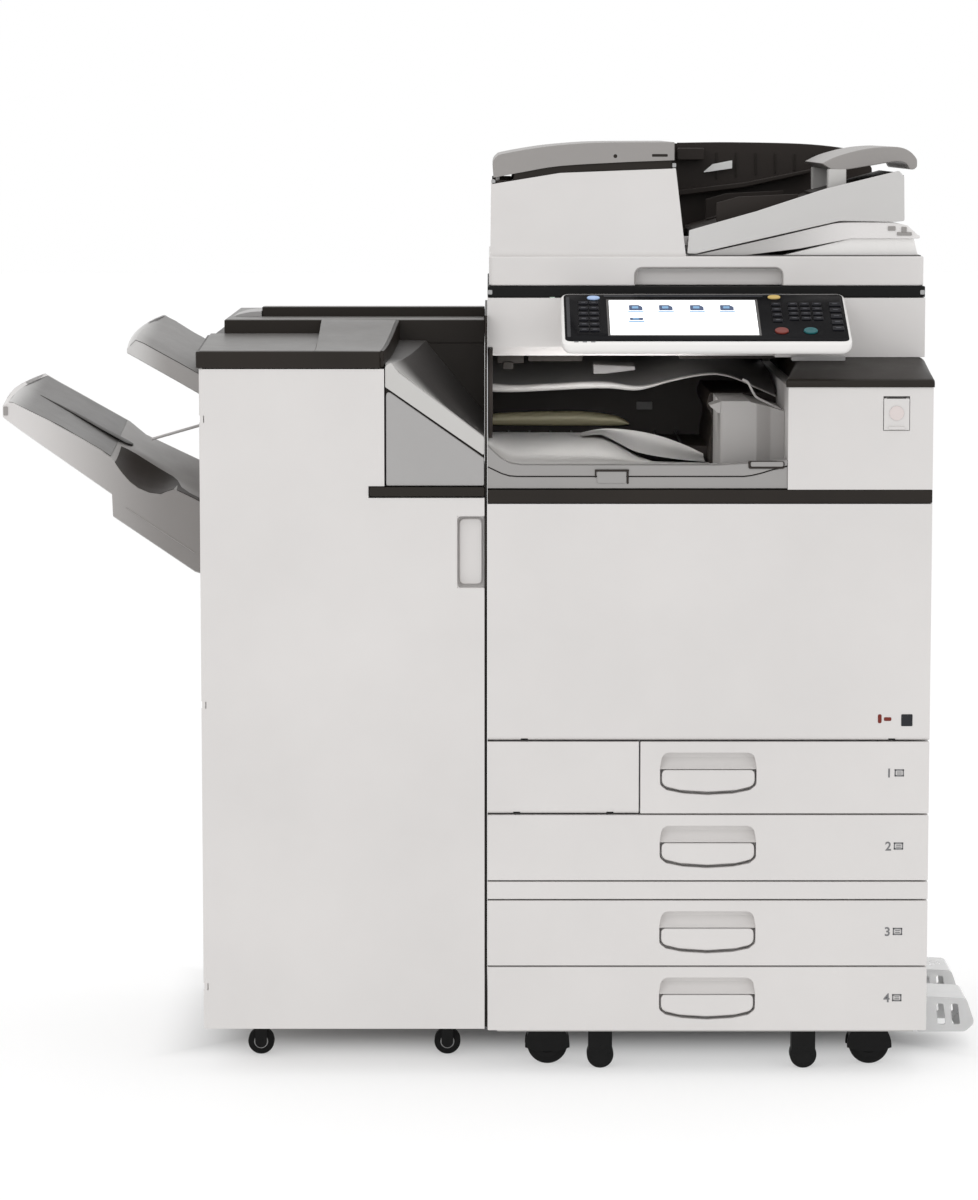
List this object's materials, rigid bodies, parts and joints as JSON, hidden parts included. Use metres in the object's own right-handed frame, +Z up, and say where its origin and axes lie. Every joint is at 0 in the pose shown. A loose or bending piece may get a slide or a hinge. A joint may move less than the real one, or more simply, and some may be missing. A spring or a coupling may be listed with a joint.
{
  "type": "photocopier",
  "caption": "Floor-standing office photocopier with a document feeder, tilting touch panel, paper drawers, exit bay and a docked finisher with output trays.",
  "frame": {"origin": "on the floor, under the centre of the whole outline", "axes": "+Z up, -Y towards the user in front of the machine, +X to the user's right"},
  "size_m": [1.326, 0.6835, 1.242],
  "materials": {
    "white_panel": "fine moulded texture, satin",
    "light_grey_plastic": "fine moulded texture",
    "mid_grey_plastic": "fine moulded texture",
    "dark_plastic": "satin",
    "black_glass": "gloss",
    "screen": "lit display under a smooth layer",
    "key_black": "satin",
    "key_green": "satin",
    "key_red": "satin",
    "glass": "clear float glass",
    "steel": "zinc plated sheet",
    "rubber": "matt tread",
    "toner_black": "moulded"
  },
  "bodies": {
    "root": {"chassis": "steel", "side_covers": "white_panel", "rear_cover": "white_panel", "front_strip": "white_panel", "dark_trims": "dark_plastic", "toner_bottles": "toner_black", "imaging_unit": "dark_plastic", "exit_tray": "light_grey_plastic", "bridge_unit": "mid_grey_plastic", "right_box": "white_panel", "stapler_unit": "steel", "scanner_body": "white_panel", "exposure_glass": "glass", "stabilisers": "light_grey_plastic", "caster_brackets": "dark_plastic", "finisher_shell": "white_panel", "finisher_top": "dark_plastic", "finisher_bridge": "light_grey_plastic", "upper_tray": "light_grey_plastic"},
    "drawer_1": {"drawer_1_front": "white_panel", "drawer_1_tray": "mid_grey_plastic"},
    "drawer_2": {"drawer_2_front": "white_panel", "drawer_2_tray": "mid_grey_plastic"},
    "drawer_3": {"drawer_3_front": "white_panel", "drawer_3_tray": "mid_grey_plastic"},
    "drawer_4": {"drawer_4_front": "white_panel", "drawer_4_tray": "mid_grey_plastic"},
    "front_door": {"front_door": "white_panel"},
    "waste_cover": {"waste_cover": "white_panel"},
    "control_panel": {"panel_housing": "white_panel", "panel_glass": "black_glass", "lcd_screen": "screen"},
    "panel_keys": {"panel_keys": "key_black"},
    "start_key": {"start_key": "key_green"},
    "stop_key": {"stop_key": "key_red"},
    "power_cover": {"power_cover": "white_panel"},
    "power_switch": {"power_switch": "dark_plastic"},
    "lamp_carriage": {"lamp_carriage": "steel"},
    "mirror_carriage": {"mirror_carriage": "steel"},
    "feeder": {"feeder_base": "white_panel", "feeder_body": "white_panel"},
    "feeder_cover": {"feeder_cover": "mid_grey_plastic"},
    "feeder_tray": {"feeder_tray": "light_grey_plastic"},
    "tray_extension": {"tray_extension": "mid_grey_plastic"},
    "guide_front": {"guide_front": "mid_grey_plastic"},
    "guide_rear": {"guide_rear": "mid_grey_plastic"},
    "feed_roller": {"feed_roller": "rubber"},
    "bypass_tray": {"bypass_tray": "white_panel"},
    "castor_left": {"caster_fork_left": "dark_plastic"},
    "castor_right": {"caster_fork_right": "dark_plastic"},
    "wheel_front_left": {"wheel_front_left": "rubber"},
    "wheel_front_right": {"wheel_front_right": "rubber"},
    "wheel_rear_left": {"wheel_rear_left": "rubber"},
    "wheel_rear_right": {"wheel_rear_right": "rubber"},
    "finisher_door": {"finisher_door": "white_panel"},
    "lower_tray": {"lower_tray": "light_grey_plastic"},
    "finisher_wheel_1": {"finisher_wheel_1": "rubber"},
    "finisher_wheel_2": {"finisher_wheel_2": "rubber"},
    "finisher_wheel_3": {"finisher_wheel_3": "rubber"},
    "finisher_wheel_4": {"finisher_wheel_4": "rubber"}
  },
  "joints": [
    {"name": "front_door_hinge", "type": "hinge", "parent": "root", "child": "front_door", "pos_m": [0.2845, -0.294, 0.459], "axis": [1, 0, 0], "range_deg": [0, 85]},
    {"name": "waste_cover_hinge", "type": "hinge", "parent": "root", "child": "waste_cover", "pos_m": [0.091, -0.294, 0.3605], "axis": [1, 0, 0], "range_deg": [0, 85]},
    {"name": "drawer_1_slide", "type": "slide", "parent": "root", "child": "drawer_1", "axis": [0, -1, 0], "range_m": [0, 0.4]},
    {"name": "drawer_2_slide", "type": "slide", "parent": "root", "child": "drawer_2", "axis": [0, -1, 0], "range_m": [0, 0.4]},
    {"name": "drawer_3_slide", "type": "slide", "parent": "root", "child": "drawer_3", "axis": [0, -1, 0], "range_m": [0, 0.4]},
    {"name": "drawer_4_slide", "type": "slide", "parent": "root", "child": "drawer_4", "axis": [0, -1, 0], "range_m": [0, 0.4]},
    {"name": "panel_tilt", "type": "hinge", "parent": "root", "child": "control_panel", "pos_m": [0.2845, -0.20348, 1.02463], "axis": [1, 0, 0], "range_deg": [-18, 8]},
    {"name": "panel_keys_press", "type": "slide", "parent": "control_panel", "child": "panel_keys", "axis": [0, 0.3746, -0.9272], "range_m": [0, 0.001], "stiffness_N_per_m": 600, "springref_m": -0.0005},
    {"name": "start_key_press", "type": "slide", "parent": "control_panel", "child": "start_key", "axis": [0, 0.3746, -0.9272], "range_m": [0, 0.001], "stiffness_N_per_m": 300, "springref_m": -0.0005},
    {"name": "stop_key_press", "type": "slide", "parent": "control_panel", "child": "stop_key", "axis": [0, 0.3746, -0.9272], "range_m": [0, 0.001], "stiffness_N_per_m": 300, "springref_m": -0.0005},
    {"name": "power_cover_hinge", "type": "hinge", "parent": "root", "child": "power_cover", "pos_m": [0.5295, -0.2965, 0.9048], "axis": [-1, 0, 0], "range_deg": [0, 95]},
    {"name": "power_switch_rock", "type": "hinge", "parent": "root", "child": "power_switch", "pos_m": [0.5295, -0.286, 0.884], "axis": [1, 0, 0], "range_deg": [-7, 7]},
    {"name": "lamp_travel", "type": "slide", "parent": "root", "child": "lamp_carriage", "axis": [1, 0, 0], "range_m": [0, 0.42]},
    {"name": "mirror_travel", "type": "slide", "parent": "root", "child": "mirror_carriage", "axis": [1, 0, 0], "range_m": [0, 0.215]},
    {"name": "feeder_hinge", "type": "hinge", "parent": "root", "child": "feeder", "pos_m": [0.2845, 0.324, 1.066], "axis": [-1, 0, 0], "range_deg": [0, 70]},
    {"name": "feeder_cover_hinge", "type": "hinge", "parent": "feeder", "child": "feeder_cover", "pos_m": [0.005, 0.06, 1.206], "axis": [0, -1, 0], "range_deg": [0, 55]},
    {"name": "document_tray_hinge", "type": "hinge", "parent": "feeder", "child": "feeder_tray", "pos_m": [0.266, 0.03, 1.11], "axis": [0, -1, 0], "range_deg": [0, 20]},
    {"name": "tray_extension_slide", "type": "slide", "parent": "feeder_tray", "child": "tray_extension", "axis": [0.9649, 0, 0.2625], "range_m": [0, 0.06]},
    {"name": "guide_front_slide", "type": "slide", "parent": "feeder_tray", "child": "guide_front", "axis": [0, 1, 0], "range_m": [0, 0.08]},
    {"name": "guide_rear_slide", "type": "slide", "parent": "feeder_tray", "child": "guide_rear", "axis": [0, 1, 0], "range_m": [-0.08, 0]},
    {"name": "feed_roller_spin", "type": "hinge", "parent": "feeder", "child": "feed_roller", "pos_m": [0.222, 0, 1.14], "axis": [0, 1, 0], "continuous": true},
    {"name": "bypass_hinge", "type": "hinge", "parent": "root", "child": "bypass_tray", "pos_m": [0.584, 0.01, 0.306], "axis": [0, 1, 0], "range_deg": [0, 65]},
    {"name": "castor_left_swivel", "type": "hinge", "parent": "root", "child": "castor_left", "pos_m": [0.058, -0.222, 0.06], "axis": [0, 0, 1], "continuous": true},
    {"name": "castor_right_swivel", "type": "hinge", "parent": "root", "child": "castor_right", "pos_m": [0.522, -0.222, 0.06], "axis": [0, 0, 1], "continuous": true},
    {"name": "wheel_front_left_spin", "type": "hinge", "parent": "castor_left", "child": "wheel_front_left", "pos_m": [0.072, -0.222, 0.0275], "axis": [0, 1, 0], "continuous": true},
    {"name": "wheel_front_right_spin", "type": "hinge", "parent": "castor_right", "child": "wheel_front_right", "pos_m": [0.508, -0.222, 0.0275], "axis": [0, 1, 0], "continuous": true},
    {"name": "wheel_rear_left_spin", "type": "hinge", "parent": "root", "child": "wheel_rear_left", "pos_m": [0.072, 0.235, 0.0275], "axis": [0, 1, 0], "continuous": true},
    {"name": "wheel_rear_right_spin", "type": "hinge", "parent": "root", "child": "wheel_rear_right", "pos_m": [0.508, 0.235, 0.0275], "axis": [0, 1, 0], "continuous": true},
    {"name": "finisher_wheel_1_spin", "type": "hinge", "parent": "root", "child": "finisher_wheel_1", "pos_m": [-0.319, -0.165, 0.018], "axis": [0, 1, 0], "continuous": true},
    {"name": "finisher_wheel_2_spin", "type": "hinge", "parent": "root", "child": "finisher_wheel_2", "pos_m": [-0.064, -0.165, 0.018], "axis": [0, 1, 0], "continuous": true},
    {"name": "finisher_wheel_3_spin", "type": "hinge", "parent": "root", "child": "finisher_wheel_3", "pos_m": [-0.319, 0.21, 0.018], "axis": [0, 1, 0], "continuous": true},
    {"name": "finisher_wheel_4_spin", "type": "hinge", "parent": "root", "child": "finisher_wheel_4", "pos_m": [-0.064, 0.21, 0.018], "axis": [0, 1, 0], "continuous": true},
    {"name": "finisher_door_hinge", "type": "hinge", "parent": "root", "child": "finisher_door", "pos_m": [-0.383, -0.294, 0.504], "axis": [0, 0, -1], "range_deg": [0, 100]},
    {"name": "lower_tray_lift", "type": "slide", "parent": "root", "child": "lower_tray", "axis": [0, 0, -1], "range_m": [0, 0.4]}
  ],
  "couplings": [
    {"joint": "mirror_travel", "follows": "lamp_travel", "ratio": 0.5},
    {"joint": "guide_rear_slide", "follows": "guide_front_slide", "ratio": -1}
  ]
}
